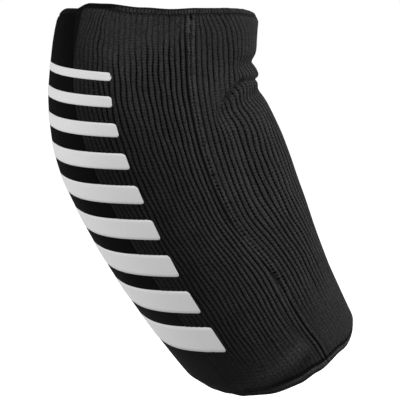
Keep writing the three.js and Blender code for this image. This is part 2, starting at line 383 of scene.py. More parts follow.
def painted_edge_shade(side, share):
    """Painted shade along hems, rims and the edges of seams: how dark, how far off, and half as wide."""
    upper = share < 0.5
    from_rim = np.minimum(share, 1 - share) * LENGTH
    from_hem = from_rim - np.where(upper, TOP_HEM, BOTTOM_HEM + LOW_HEM_SHIFT)
    hem_shade = np.where(upper, TOP_HEM_SHADE * smooth(side, 38, 50), LOW_SHADE)
    rim_shade = np.where(upper, TOP_RIM_SHADE - BACK_RIM_LOSS * smooth(side, 95, 110), LOW_SHADE)
    seam, lapped = seam_line(share), overlap(share)
    sewn, bold = smooth(share, 0.05, 0.15), smooth(share, 0.47, 0.57)
    near_edge = seam - SEAM_ANGLE * (1 - smooth(share, 0.6, 0.86))
    near_width = NEAR_EDGE_LINE * (1 + 0.2 * bold - 0.78 * smooth(share, 0.57, 0.68))
    return (
        (hem_shade, from_hem, np.where(upper, *HEM_LINES)),
        (rim_shade, from_rim, np.where(upper, *RIM_LINES)),
        ((NEAR_EDGE_SHADE - BOLD_LOSS * (bold - lapped)) * sewn, side - near_edge, near_width),
        (FAR_EDGE_SHADE * (1 - lapped) * sewn, side - seam - SEAM_ANGLE, FAR_EDGE_LINE),
    )


def knit_tone(angle, share):
    """How light the yarn is: painted shade towards the pad, along the hems and seams, and in creases."""
    side = from_ridge(angle)
    tone = pad_shade(side, share) * arm_shade(side, share)
    for shade, off, width in painted_edge_shade(side, share):
        tone = tone * (1 - shade * bell(off, width, 4))
    # Painted shade in creases and troughs, and painted light on the low ridge
    return np.clip(tone * (1 - line_sum(PAINTED_LIGHT_AND_SHADE_LINES.values(), angle, share)), 0.08, 1.4)


def nothing(across, share):
    return np.zeros_like(across)


@dataclass
class Strip:
    """One strip of the wall, as functions of the part across it and the share along it: its angles, how far
    its face stands out and its inside lies in, how much of its ribs stands and how many ribs they slide over.
    Its tone is a function of angle and share, its pitch a course's length."""

    angles: Callable
    height: Callable
    depth: Callable
    relief: Callable = nothing
    slide: Callable = nothing
    tone: Callable = knit_tone
    pitch: float = COURSE_PITCH

    def mirrored(self):
        """The same strip on the far side of the sleeve, still running the same way round."""

        def turned(function, sign=1, start=0):
            return lambda across, share: start + sign * function(1 - across, share)

        sizes = turned(self.height), turned(self.depth), turned(self.relief)
        return Strip(turned(self.angles, -1, 360), *sizes, turned(self.slide, -1), self.tone, self.pitch)


# Meshes
ROWS = 199
ROW_SHARES = np.linspace(TOP_SHARE + GAP_SHARE, BOTTOM_SHARE - GAP_SHARE, ROWS)


def placed(name, data):
    """A new object in the scene, for a mesh, a light or a camera."""
    thing = bpy.data.objects.new(name, data)
    bpy.context.scene.collection.objects.link(thing)
    return thing


def set_numbers(mesh, name, values):
    mesh.attributes.new(name, "FLOAT", "POINT").data.foreach_set("value", values.astype(np.float32))


def new_piece(name, points, faces, attributes, uv):
    mesh = bpy.data.meshes.new(name)
    mesh.from_pydata(points.tolist(), [], faces)
    for key, values in attributes.items():
        set_numbers(mesh, key, values)
    corners = np.zeros(len(mesh.loops), np.int32)
    mesh.loops.foreach_get("vertex_index", corners)
    layer = mesh.uv_layers.new(name="knit")
    layer.data.foreach_set("uv", uv[corners].astype(np.float32).ravel())
    mesh.polygons.foreach_set("use_smooth", np.ones(len(mesh.polygons), bool))
    return placed(name, mesh)


def grid_faces(ids, inwards=False):
    """Four-sided faces over a grid of point numbers, columns round the sleeve by rows down it."""
    corners = [ids[:-1, :-1], ids[:-1, 1:], ids[1:, 1:], ids[1:, :-1]]
    quads = np.stack([c.ravel() for c in corners], -1)
    return (quads[:, ::-1] if inwards else quads).tolist()


def edge_faces(many, few, turned):
    """Triangles between a fine edge and a coarse one with every nth of its points."""
    each = (len(many) - 1) // (len(few) - 1)
    faces = []
    for cell in range(len(few) - 1):
        half = cell * each + each // 2
        for k in range(cell * each, (cell + 1) * each):
            faces.append([many[k], many[k + 1], few[cell] if k < half else few[cell + 1]])
        faces.append([many[half], few[cell + 1], few[cell]])
    return [face[::-1] for face in faces] if turned else faces


def wall_faces(outer, inner):
    """Faces of a closed wall, from the grids of point numbers of its outside and its inside."""
    faces = grid_faces(outer) + grid_faces(inner, inwards=True)
    faces += edge_faces(outer[:, 0], inner[:, 0], False) + edge_faces(outer[:, -1], inner[:, -1], True)
    return faces + edge_faces(outer[0], inner[0], True) + edge_faces(outer[-1], inner[-1], False)


def wall_piece(name, strip, wales, coarse):
    """A closed piece of the wall. wales holds the rib count at each column.
    The inside has every nth column and row, as coarse says, and no relief."""
    across = wales / wales[-1]
    parts = []
    for column_step, row_step, side, offset in ((1, 1, 1, strip.height), (*coarse, -1, strip.depth)):
        a, s = np.meshgrid(across[::column_step], ROW_SHARES[::row_step], indexing="ij")
        parts.append((a, s, lifted(strip.angles(a, s), s, side * offset(a, s))))
    (outer_a, outer_s, outer), (inner_a, inner_s, inner) = parts
    outer_ids = np.arange(outer_a.size).reshape(outer_a.shape)
    inner_ids = np.arange(inner_a.size).reshape(inner_a.shape) + outer_a.size
    all_a = np.concatenate([outer_a.ravel(), inner_a.ravel()])
    all_s = np.concatenate([outer_s.ravel(), inner_s.ravel()])
    wale = all_a * wales[-1] - strip.slide(all_a, all_s)
    values = {
        "wale": wale,
        "relief": np.concatenate([strip.relief(outer_a, outer_s).ravel(), np.zeros(inner_a.size)]),
        # For knit, the tone holds the painted light and shade of knit_tone
        "tone": strip.tone(strip.angles(all_a, all_s), all_s),
    }
    points = np.concatenate([outer.reshape(-1, 3), inner.reshape(-1, 3)])
    uv = np.stack([wale, all_s * LENGTH / strip.pitch], -1)
    return new_piece(name, points, wall_faces(outer_ids, inner_ids), values, uv)


# Node trees: numbers of the sockets that share their name with others
RANDOM_LEAST, RANDOM_MOST, RANDOM_ID, RANDOM_SEED, RANDOM_RESULT = 2, 3, 7, 8, 1
MIX_FACTOR, MIX_FIRST, MIX_SECOND, MIX_RESULT = 0, 6, 7, 2


class Maker:
    """Adds nodes to a tree."""

    def __init__(self, tree):
        self.tree = tree

    def add(self, kind, inputs=None, **settings):
        """Adds a node, sets or links its inputs by name or number, and gives its outputs."""
        node = self.tree.nodes.new(kind)
        for key, value in settings.items():
            setattr(node, key, value)
        for key, value in (inputs or {}).items():
            if isinstance(value, bpy.types.NodeSocket):
                self.tree.links.new(value, node.inputs[key])
            else:
                node.inputs[key].default_value = value
        return node.outputs

    def math(self, operation, *values):
        return self.add("ShaderNodeMath", dict(enumerate(values)), operation=operation)[0]

    def times(self, value, factor):
        return self.math("MULTIPLY", value, factor)

    def line(self, value, slope, start):
        """A straight line: the value times a slope, from a start."""
        return self.math("MULTIPLY_ADD", value, slope, start)

    def scaled(self, vector, factor):
        inputs = {0: vector, "Scale": factor}
        return self.add("ShaderNodeVectorMath", inputs, operation="SCALE")[0]

    def wave(self, value, count=1):
        """A sine with so many waves for each one of the value."""
        return self.math("SINE", self.times(value, count * math.tau))

    def from_rib_top(self, wale):
        """Nothing on the top of a rib, growing to one in the valleys beside it."""
        return self.math("ABSOLUTE", self.line(self.math("FRACT", wale), 2.0, -1.0))

    def attribute(self, name, kind):
        found = self.add("GeometryNodeInputNamedAttribute", {"Name": name}, data_type=kind)
        return found["Attribute"]

    def uneven(self, given, ids=None):
        """A random factor about one, for each point or for each of the ids."""
        inputs = {
            RANDOM_LEAST: self.math("SUBTRACT", 1.0, given["Unevenness"]),
            RANDOM_MOST: self.math("ADD", 1.0, given["Unevenness"]),
            RANDOM_SEED: given["Seed"],
        }
        if ids is not None:
            inputs[RANDOM_ID] = ids
        return self.add("FunctionNodeRandomValue", inputs)[RANDOM_RESULT]


def new_tree(name, numbers):
    """A tree for geometry, whose inputs are these numbers, a seed and a finish."""
    tree = bpy.data.node_groups.new(name, "GeometryNodeTree")
    face = tree.interface
    inputs = {"Geometry": "Geometry", **dict.fromkeys(numbers, "Float"), "Seed": "Int", "Finish": "Material"}
    for socket, kind in inputs.items():
        face.new_socket(socket, in_out="INPUT", socket_type="NodeSocket" + kind)
    face.new_socket("Geometry", in_out="OUTPUT", socket_type="NodeSocketGeometry")
    make = Maker(tree)
    return make, make.add("NodeGroupInput")


def end_tree(make, geometry, finish):
    """Makes what a tree has laid real, and gives it its finish."""
    real = make.add("GeometryNodeRealizeInstances", {"Geometry": geometry})
    dressed = make.add("GeometryNodeSetMaterial", {"Geometry": real[0], "Material": finish})
    make.add("NodeGroupOutput", {"Geometry": dressed[0]})
    return make.tree


def relief_tree():
    """Raises ribs on a panel: rounded tops between narrow valleys, each rib a little different."""
    make, given = new_tree("rib relief", ("Rib height", "Rib power", "Unevenness"))
    wale = make.attribute("wale", "FLOAT")
    relief = make.attribute("relief", "FLOAT")
    sunk = make.math("POWER", make.from_rib_top(wale), given["Rib power"])
    profile = make.math("SUBTRACT", 1.0, sunk)
    rise = make.times(make.times(profile, relief), given["Rib height"])
    rise = make.times(rise, make.uneven(given, make.math("FLOOR", wale)))
    offset = make.scaled(make.add("GeometryNodeInputNormal")[0], rise)
    moved = make.add("GeometryNodeSetPosition", {"Geometry": given["Geometry"], "Offset": offset})
    return end_tree(make, moved[0], given["Finish"])


def stitch_tree():
    """Lays one small rounded thread on every point, along its "along" and facing its "out" direction."""
    make, given = new_tree("stitches", ("Length", "Width", "Height", "Unevenness"))
    along, out = make.attribute("along", "FLOAT_VECTOR"), make.attribute("out", "FLOAT_VECTOR")
    axes = {"Primary Axis": along, "Secondary Axis": out}
    turned = make.add("FunctionNodeAxesToRotation", axes, primary_axis="X", secondary_axis="Z")
    size = make.add("ShaderNodeCombineXYZ", {0: given["Length"], 1: given["Width"], 2: given["Height"]})
    ball = make.add("GeometryNodeMeshUVSphere", {"Segments": 8, "Rings": 6, "Radius": 0.5})
    smooth_ball = make.add("GeometryNodeSetShadeSmooth", {"Geometry": ball[0]})
    inputs = {
        "Points": given["Geometry"],
        "Instance": smooth_ball[0],
        "Rotation": turned[0],
        "Scale": make.scaled(size[0], make.uneven(given)),
    }
    laid = make.add("GeometryNodeInstanceOnPoints", inputs)
    return end_tree(make, laid[0], given["Finish"])


def run_tree(piece, tree, values):
    """Puts the piece through a node tree and leaves it a plain mesh."""
    sockets = {item.name: item.identifier for item in tree.interface.items_tree if item.in_out == "INPUT"}
    modifier = piece.modifiers.new(tree.name, "NODES")
    modifier.node_group = tree
    for name, value in values.items():
        modifier[sockets[name]] = value
    graph = bpy.context.evaluated_depsgraph_get()
    result = piece.evaluated_get(graph)
    made = bpy.data.meshes.new_from_object(result, preserve_all_data_layers=True, depsgraph=graph)
    piece.modifiers.remove(modifier)
    old = piece.data
    piece.data = made
    bpy.data.meshes.remove(old)
    made.name = piece.name
    return piece


# Colours of the finishes, most from dark to light
YARN = ((0.018, 0.018, 0.0185, 1), (0.064, 0.064, 0.0645, 1))
PAD = ((0.0015, 0.0015, 0.0016, 1), (0.006, 0.006, 0.0062, 1))
THREAD = ((0.018, 0.018, 0.0185, 1), (0.05, 0.05, 0.051, 1))
PRINT = ((0.76, 0.76, 0.76, 1), (0.82, 0.82, 0.82, 1))
PAPER = ((0.9, 0.9, 0.9, 1), (0.93, 0.93, 0.93, 1))
# Painted shade for the grooves of the knit
GROOVE_PAINTED_SHADE = (0.0008, 0.0008, 0.0009, 1)
WHITE = (1, 1, 1, 1)

# Fine and broad grain, in grains for each metre
RIB_GRAIN = (1100.0, 60.0)
PLAIN_GRAIN = (1000.0, 45.0)
PRINT_GRAIN = 700.0
PAPER_GRAIN = 40.0

# Strength and height in metres of the finest relief
RIB_BUMP = (0.5, 0.00028)
PLAIN_BUMP = (0.4, 0.0002)
PRINT_BUMP = (0.2, 0.0001)

# Rib knit: sharpness and darkness of the painted shade in its grooves, shifts of their beads,
# lines along the tops of some ribs
GROOVE_SHARPNESS = 2.4
GROOVE_LEAST = 0.9
GROOVE_MORE = 0.6
BEAD_SHIFT = 7.0
BEAD_FINE_SHIFT = 1.3
BEAD_BROAD_SHIFT = 2.0
LINED_FROM = 0.55
LINED_SHADE = 0.3
LINED_SHARPNESS = 6.0

# Its yarn: how much fine grain, broad grain and courses lighten it, and how light flat knit is
YARN_FINE = 2.4
YARN_BROAD = 0.5
YARN_START = -0.95
COURSE_GAIN = 0.2
FLAT_TONE = 0.74

# Loops of yarn: how far they slant across a rib and how high they stand beside the grain
LOOP_SLANT = 0.45
LOOP_HEIGHT = 0.4
WALE_HEIGHT = 0.3


class Finish(Maker):
    """Adds the nodes of a new material with one shader."""

    def __init__(self, name):
        self.material = bpy.data.materials.new(name)
        self.material.use_nodes = True
        super().__init__(self.material.node_tree)
        self.tree.nodes.clear()
        self.shader = self.tree.nodes.new("ShaderNodeBsdfPrincipled")
        self.add("ShaderNodeOutputMaterial", {"Surface": self.shader.outputs["BSDF"]})

    def shade(self, colour, **values):
        self.tree.links.new(colour, self.shader.inputs["Base Color"])
        for name, value in values.items():
            self.shader.inputs[name.replace("_", " ")].default_value = value

    def bump(self, height, sizes):
        strength, distance = sizes
        bump = self.add("ShaderNodeBump", {"Strength": strength, "Distance": distance, "Height": height})
        self.tree.links.new(bump[0], self.shader.inputs["Normal"])

    def mix(self, factor, first, second):
        inputs = {MIX_FACTOR: factor, MIX_FIRST: first, MIX_SECOND: second}
        return self.add("ShaderNodeMix", inputs, data_type="RGBA", clamp_factor=True)[MIX_RESULT]

    def number(self, name):
        return self.add("ShaderNodeAttribute", attribute_name=name)["Fac"]

    def toned(self, colour, factor=1.0):
        """A colour times the piece's "tone" attribute and a factor."""
        return self.scaled(colour, self.times(self.number("tone"), factor))

    def grain(self, scale, detail=3.0):
        """Unevenness from the object's own coordinates."""
        place = self.add("ShaderNodeTexCoord")["Object"]
        return self.add("ShaderNodeTexNoise", {"Vector": place, "Scale": scale, "Detail": detail})[0]

    def yarn_grain(self, scales):
        return self.grain(scales[0]), self.grain(scales[1], 2.0)

    def knit_place(self):
        """The count of ribs across and of courses down the knit."""
        place = self.add("ShaderNodeUVMap", uv_map="knit")[0]
        split = self.add("ShaderNodeSeparateXYZ", {0: place})
        return split[0], split[1]


def rib_knit_finish(name, boldness, swing):
    """Charcoal rib knit: flat rib tops between narrow grooves darkened by painted shade, which is beaded
    along their length. boldness says how dark that painted shade is, swing by how much the beads change it."""
    make = Finish(name)
    wale, course = make.knit_place()
    relief = make.number("relief")
    from_top = make.from_rib_top(wale)
    fine, broad = make.yarn_grain(RIB_GRAIN)
    groove = make.math("FLOOR", make.math("ADD", wale, 0.5))
    chance = make.add("ShaderNodeTexWhiteNoise", {"W": groove}, noise_dimensions="1D")["Value"]
    uneven = make.line(fine, BEAD_FINE_SHIFT, make.times(broad, BEAD_BROAD_SHIFT))
    shifted = make.math("ADD", course, make.line(chance, BEAD_SHIFT, uneven))
    beaded = make.line(make.wave(shifted), swing, boldness)
    shown = make.line(chance, GROOVE_MORE, GROOVE_LEAST)
    strength = make.times(make.times(beaded, shown), relief)
    # The grooves are darkened by painted shade, beaded along their length
    valley = make.times(make.math("POWER", from_top, GROOVE_SHARPNESS), strength)
    middle = make.math("POWER", make.math("SUBTRACT", 1.0, from_top), LINED_SHARPNESS)
    lined = make.times(make.math("GREATER_THAN", chance, LINED_FROM), LINED_SHADE)
    shade = make.line(make.times(middle, lined), relief, valley)
    tone = make.line(fine, YARN_FINE, make.line(broad, YARN_BROAD, YARN_START))
    tone = make.line(make.wave(course), make.times(broad, COURSE_GAIN), tone)
    yarn = make.mix(tone, *YARN)
    flattened = make.line(relief, 1 - FLAT_TONE, FLAT_TONE)
    colour = make.mix(shade, make.toned(yarn, flattened), GROOVE_PAINTED_SHADE)
    loops = make.wave(make.line(from_top, LOOP_SLANT, course), 2)
    make.bump(make.line(loops, LOOP_HEIGHT, fine), RIB_BUMP)
    make.shade(colour, Roughness=0.9, Specular_IOR_Level=0.04, Sheen_Weight=0.01, Sheen_Roughness=0.5)
    return make.material


def plain_knit_finish(name, colours):
    """Plain jersey: fine courses across and fine wales along."""
    make = Finish(name)
    wale, course = make.knit_place()
    fine, broad = make.yarn_grain(PLAIN_GRAIN)
    tone = make.math("ADD", fine, make.line(broad, 0.5, -0.25))
    courses = make.line(make.wave(course, 2), LOOP_HEIGHT, fine)
    make.bump(make.line(make.wave(wale), WALE_HEIGHT, courses), PLAIN_BUMP)
    make.shade(make.toned(make.mix(tone, *colours)), Roughness=0.9, Specular_IOR_Level=0.02)
    return make.material


def print_finish():
    """White screen print: a matt film with a faint grain."""
    make = Finish("print_white")
    fine = make.grain(PRINT_GRAIN)
    make.bump(fine, PRINT_BUMP)
    make.shade(make.mix(fine, *PRINT), Roughness=0.6, Specular_IOR_Level=0.25)
    return make.material


rib_knit = rib_knit_finish("rib_knit", boldness=1.1, swing=0.5)
seam_knit = rib_knit_finish("seam_knit", boldness=1.1, swing=0.9)
pad_knit = plain_knit_finish("pad_knit", PAD)
hem_knit = rib_knit_finish("hem_knit", boldness=0.8, swing=0.3)
thread = plain_knit_finish("thread", THREAD)
print_white = print_finish()
ribs = relief_tree()
stitches = stitch_tree()

# Columns across one rib, closer together in its valley, and the inside's steps of columns and rows
RIB_STEPS = (0, 0.08, 0.2, 0.35, 0.5, 0.65, 0.8, 0.92)
KNIT_COARSE = (4, 3)
PAD_COARSE = (2, 3)
RIB_POWER = 4.0

# The smooth patch over the tuck: angle and reach in degrees, height over the tuck and reach as shares
PATCH = (116, 8, 0.04, 0.03)


def rib_columns(count, steps=RIB_STEPS):
    return np.array([k + step for k in range(count) for step in steps] + [count])


def ragged(across):
    """How far down, in millimetres, each rib's fading end lies from the even line of the others."""
    return 4 * np.sin(47 * across) + 3 * np.sin(101 * across)


def side_fade(across, share):
    """How much of the ribs stands on a side panel: less beside the pad and towards the hems."""
    beside_pad = between(0.35, 1, smooth(across, 0.02, 0.4))
    down = share * LENGTH + ragged(across)
    top = between(0.32, 1, smooth(down, 40 - 24 * across, 64 - 30 * across))
    top = np.maximum(top, 0.8 * smooth(0.42 - across, 0, 0.15))
    up = (1 - share) * LENGTH + ragged(across)
    by_seam = smooth(across, 0.55, 0.9)
    foot = smooth(up, 16 - 8 * across + 10 * by_seam, 40 - 12 * across + 20 * by_seam)
    gained = 1 + 0.25 * smooth(across, 0.6, 0.9)
    return beside_pad * top * between(0.22, 1, foot) * gained


def side_slide(across, share):
    """How many ribs the pattern slides over beside the pad, where the pad's edge cuts the ribs off."""
    return 5 * np.clip(1 - share / 0.15, 0, 1) ** 1.3 * (1 - smooth(across, 0, 0.5))


def below_tuck(angle, share):
    """How far below the line of the crook's tuck a point lies, as a share."""
    return share - np.interp(from_ridge(angle), TUCK_ANGLES, TUCK_SHARES)


def back_slide(across, share):
    """How many ribs the pattern slides over at the tuck, where the cloth folds under itself."""
    angle = back_angles(across, share)
    below = below_tuck(angle, share)
    slid = np.exp(-np.maximum(below, 0) / 0.065) * smooth(below, -0.008, 0.006)
    slid = slid * smooth(from_ridge(angle), 106, 128)
    return TUCK_SLIDE * np.where(across < 0.5, 1, -1) * slid


def back_fade(across, share):
    """How much of the ribs stands on the back panel: less at the crook, its tuck and the bottom rim."""
    centre = 1 - np.abs(2 * across - 1)
    angle = back_angles(across, share)
    down = share * LENGTH + ragged(across)
    top = 0.52 + 0.3 * smooth(down, 10, 55) + 0.18 * smooth(down, 60, 95)
    crook = smooth(centre, 0.28, 0.6) * (1 - smooth(down, 30, 50))
    side, below = from_ridge(angle), below_tuck(angle, share)
    middle, reach, height, stretch = PATCH
    patch = bell(side - middle, reach) * bell(below + height, stretch)
    crease = bell(below, 0.008) * smooth(side, 108, 118)
    foot = smooth((1 - share) * LENGTH + ragged(across), 20 + 25 * centre, 55 + 40 * centre)
    left = (1 - 0.8 * crook) * (1 - 0.7 * patch) * (1 - 0.8 * crease)
    return top * left * between(0.15, 1, foot)


def beside_seam(degrees, share, filled, step, reach):
    """How far a panel stands out so many degrees from a seam, which pulls it down. Where the panels lap,
    that groove is partly filled, and the panel steps up or down, over a reach."""
    from_seam = degrees * math.radians(MEAN_RADIUS)
    lapped = overlap(share)
    groove = -GROOVE_DEPTH * bell(from_seam, GROOVE_WIDTH) * (1 - filled * lapped)
    return groove + step * lapped * np.exp(-from_seam / reach)


def side_height(across, share):
    degrees = (1 - across) * (seam_line(share) - pad_edge(share))
    return beside_seam(degrees, share, filled=0.6, step=-STEP_HEIGHT, reach=2.5)


def back_height(across, share):
    degrees = np.minimum(across, 1 - across) * (360 - 2 * seam_line(share))
    return beside_seam(degrees, share, filled=0.7, step=STEP_HEIGHT, reach=9)


def knit_depth(across, share):
    return np.full_like(across, KNIT)


def ribbed_panel(name, strip, count, rib_height, finish, seed):
    piece = wall_piece(name, strip, rib_columns(count), KNIT_COARSE)
    sizes = {"Rib height": rib_height * MM, "Rib power": RIB_POWER, "Unevenness": RIB_UNEVENNESS}
    return run_tree(piece, ribs, {**sizes, "Seed": seed, "Finish": finish})


def panel_pair(name, strip, *made):
    """The panel of the near side, and its mirror on the far side."""
    near = ribbed_panel(name.format("near"), strip, *made)
    return near, ribbed_panel(name.format("far"), strip.mirrored(), *made)


side_strip = Strip(side_angles, side_height, knit_depth, side_fade, side_slide)
back_strip = Strip(back_angles, back_height, knit_depth, back_fade, back_slide)
side_near, side_far = panel_pair("side_panel_{}_knit", side_strip, SIDE_RIBS, RIB_HEIGHT, rib_knit, 3)
back = ribbed_panel("back_panel_knit", back_strip, BACK_RIBS, RIB_HEIGHT, rib_knit, 7)


# The padded strip
PAD_WALES = 64


def pad_swell(across, share):
    crown = np.sqrt(np.clip(1 - (2 * across - 1) ** 2, 0, 1))
    return crown * smooth(np.minimum(share, 1 - share) * LENGTH, 0, PAD_TAPER)


def pad_height(across, share):
    return PAD_CROWN * pad_swell(across, share)


def pad_depth(across, share):
    return KNIT + (PAD_THICKNESS - KNIT - PAD_CROWN) * pad_swell(across, share)


def pad_tone(angle, share):
    return between(0.75, 1, smooth(share, 0, 0.25)) + 2.3 * smooth(share, 0.65, 0.97)


pad_strip = Strip(pad_angles, pad_height, pad_depth, tone=pad_tone)
pad = wall_piece("pad_panel_padded", pad_strip, np.arange(PAD_WALES + 1.0), PAD_COARSE)
pad.data.materials.append(pad_knit)


# The flat seams, each as wide as two ribs, whose middle groove is broken into lumps
SEAM_RIBS = 2
LUMP_LENGTH = 2.4
LUMP_RANGE = (-0.5, 1.9)
LUMP_SEED = 17
lumps = np.random.default_rng(LUMP_SEED).uniform(*LUMP_RANGE, int(LENGTH / LUMP_LENGTH) + 2)


def seam_height(across, share):
    edge = -GROOVE_DEPTH * np.abs(2 * across - 1) ** 6
    lapped = overlap(share)
    step = 2 * smooth(across, 0.42, 0.56) - 1
    return edge * (1 - 0.7 * lapped) + STEP_HEIGHT * lapped * step


def seam_relief(across, share):
    lump = np.interp(share * LENGTH / LUMP_LENGTH, np.arange(len(lumps)), np.maximum(lumps, 0))
    in_groove = bell(across - 0.5, 0.2)
    return (1 - in_groove * (1 - lump)) * (1 - 0.85 * overlap(share) * smooth(across, 0.2, 0.5))


seam_strip = Strip(seam_angles, seam_height, knit_depth, seam_relief, pitch=STITCH_PITCH)
seam_near, seam_far = panel_pair("side_seam_{}_band", seam_strip, SEAM_RIBS, SEAM_RIB, seam_knit, 9)


# The hems, with the small ribs of their overlocked edge, black on the pad and just beside it
HEM_TICKS = 157
TICK_HEIGHT = 0.5
TICK_POWER = 3.0
TICK_UNEVENNESS = 0.5
HEM_STEPS = (0, 0.15, 0.5, 0.85)
HEM_RINGS = 7
INSIDE_ROUNDING = 0.3
BLACK_TO = 40.0
BLACK_FADE = 10.0
BLACK_TONE = 0.1
BLACK_THREAD_TONE = 0.2


def past_black(angle):
    """Nothing where the hems are black, and one where they are charcoal all over."""
    return smooth(from_ridge(angle), BLACK_TO, BLACK_TO + BLACK_FADE)


def hem_grey(angle, part):
    """How far a hem is charcoal and not black, at a part of the way down it from its rim."""
    side = from_ridge(angle)
    lower = 0.62 + 0.13 * smooth(side, 20, BLACK_TO + BLACK_FADE)
    beside = smooth(part, lower, lower + 0.25) * smooth(side, 14, 18)
    return np.maximum(past_black(angle), beside)


def hem_piece(name, from_share, to_share, ticks, lightness, seed):
    """A closed band round a rim. ticks says how much of its small ribs stands."""
    wales = rib_columns(HEM_TICKS, HEM_STEPS)[:-1]
    angle = wales / HEM_TICKS * 360
    rings = np.linspace(from_share, to_share, HEM_RINGS)
    shares = np.concatenate([rings, rings[::-1]])[:, None]
    edge = np.sin(np.pi * np.linspace(0, 1, HEM_RINGS)) ** 0.5
    heights = np.concatenate([HEM_PROUD * (2 * edge - 1), INSIDE_ROUNDING * (1 - edge) - KNIT])[:, None]
    points = lifted(angle, shares, heights).reshape(-1, 3)
    count, columns = len(shares), len(angle)
    ids = np.arange(count * columns).reshape(count, columns).T
    ids = np.hstack([ids, ids[:, :1]])
    faces = grid_faces(np.vstack([ids, ids[:1]]))
    rim = 0.0 if from_share < 0.5 else 1.0
    greys = hem_grey(angle, np.abs(shares - rim) / (to_share - from_share))
    relief = np.concatenate([edge, np.zeros(HEM_RINGS)])[:, None] * ticks * greys
    # The hems take the painted shade of knit_tone as well
    tone = lightness * knit_tone(angle, shares) * between(BLACK_TONE, 1, greys)
    values = {"wale": np.tile(wales, count), "relief": relief.ravel(), "tone": tone.ravel()}
    uv = np.stack([values["wale"], np.repeat(shares * LENGTH / COURSE_PITCH, columns)], -1)
    piece = new_piece(name, points, faces, values, uv)
    sizes = {"Rib height": TICK_HEIGHT * MM, "Rib power": TICK_POWER, "Unevenness": TICK_UNEVENNESS}
    return run_tree(piece, ribs, {**sizes, "Seed": seed, "Finish": hem_knit})


top_hem = hem_piece("top_hem_band", 0.0, TOP_SHARE, ticks=1.0, lightness=1.0, seed=11)
bottom_hem = hem_piece("bottom_hem_band", BOTTOM_SHARE, 1.0, ticks=0.3, lightness=1.8, seed=12)


# The stitches of the seams: their start in millimetres and end as a share, the shares where the edges are
# sewn too, which end sooner on the pad's side, and how light the threads are at the top and further down
SEAM_SEWN_FROM = TOP_HEM + 8
SEAM_SEWN_TO = 0.78
BOLD_FROM = 0.52
BOLD_TO = (0.7, 0.77)
SEAM_THREADS = (0.6, 0.08)


def stitch_row(name, angle, share, lightness, seed, height, slant, length, width, unevenness):
    """Threads on the sleeve at each angle and share, turned by a slant in degrees from the way down it."""
    points = lifted(angle, share, height)
    outward, down = directions(angle, share)
    lean = math.radians(slant)
    along = down * math.cos(lean) + np.cross(outward, down) * math.sin(lean)
    mesh = bpy.data.meshes.new(name)
    mesh.from_pydata(points.tolist(), [], [])
    for key, vectors in (("along", along), ("out", outward)):
        data = mesh.attributes.new(key, "FLOAT_VECTOR", "POINT").data
        data.foreach_set("vector", vectors.astype(np.float32).ravel())
    set_numbers(mesh, "tone", lightness * between(BLACK_THREAD_TONE, 1, past_black(angle)))
    sizes = {"Length": length * MM, "Width": width * MM, "Height": width * MM, "Unevenness": unevenness}
    return run_tree(placed(name, mesh), stitches, {**sizes, "Seed": seed, "Finish": thread})


def hem_stitches(name, share, length, lightness, seed):
    """Threads along a hem, beside the part that is black."""
    angle = np.linspace(0, 360, HEM_TICKS, endpoint=False)
    angle = angle[from_ridge(angle) > BLACK_TO]
    sizes = {"height": 0.05, "slant": 8, "length": length, "width": 0.7, "unevenness": 0.18}
    return stitch_row(name, angle, share, lightness, seed, **sizes)


def seam_stitches(name, side, seed):
    """Dark threads across the middle of a seam, and across its edges where they are sewn boldly."""
    share = np.arange(SEAM_SEWN_FROM, LENGTH * SEAM_SEWN_TO, STITCH_PITCH) / LENGTH
    near, far = (share[(share > BOLD_FROM) & (share < end)] for end in BOLD_TO)
    angle = np.concatenate([seam_line(share), seam_line(near) - SEAM_ANGLE, seam_line(far) + SEAM_ANGLE])
    shares = np.concatenate([share, near, far])
    lightness = between(*SEAM_THREADS, smooth(shares, 0.3, 0.5))
    sizes = {"height": 0.6, "slant": 55 * side, "length": 1.9, "width": 0.8, "unevenness": 0.5}
    return stitch_row(name, side * angle, shares, lightness, seed, **sizes)


top_stitches = hem_stitches("top_hem_stitches", TOP_SHARE, length=2.0, lightness=1.0, seed=21)
bottom_stitches = hem_stitches("bottom_hem_stitches", BOTTOM_SHARE, length=1.2, lightness=0.3, seed=22)
near_stitches = seam_stitches("side_seam_near_stitches", side=1, seed=23)
far_stitches = seam_stitches("side_seam_far_stitches", side=-1, seed=24)


# The printed bars on the pad, in millimetres down the sleeve and degrees round it
PRINT_BARS = 9
PRINT_START = 39.0
PRINT_THICKNESS = (5.0, 15.0)
PRINT_GAP = 8.9
PRINT_HALF_ANGLE = 47.0
PRINT_SLANT = 6.0
PRINT_CORNER = 1.6
PRINT_RAMP = 22.0
FILM_EDGE = 0.4
CORNER_POINTS = 7
LENGTH_POINTS = 47
WIDTH_POINTS = 9


def print_heights(angle, share):
    """How high the film lies and how deep it reaches: on the pad's swell, and over the ribs beside it."""
    edge = pad_edge(share)
    side = from_ridge(angle)
    on_pad = pad_height(np.clip((1 + side / edge) / 2, 0, 1), share)
    spread = np.clip((side - edge) / (seam_line(share) - edge), 0, 1)
    slope = 1 - SIDE_SPREAD
    ribs_across = (np.sqrt(slope**2 + 4 * SIDE_SPREAD * spread) - slope) / (2 * SIDE_SPREAD)
    rib_top = RIB_HEIGHT * (1 + RIB_UNEVENNESS) * side_fade(ribs_across, share)
    height = between(on_pad, rib_top, smooth(side, edge - PRINT_RAMP, edge))
    return height, np.where(side < edge, on_pad, 0) - PRINT_FILM


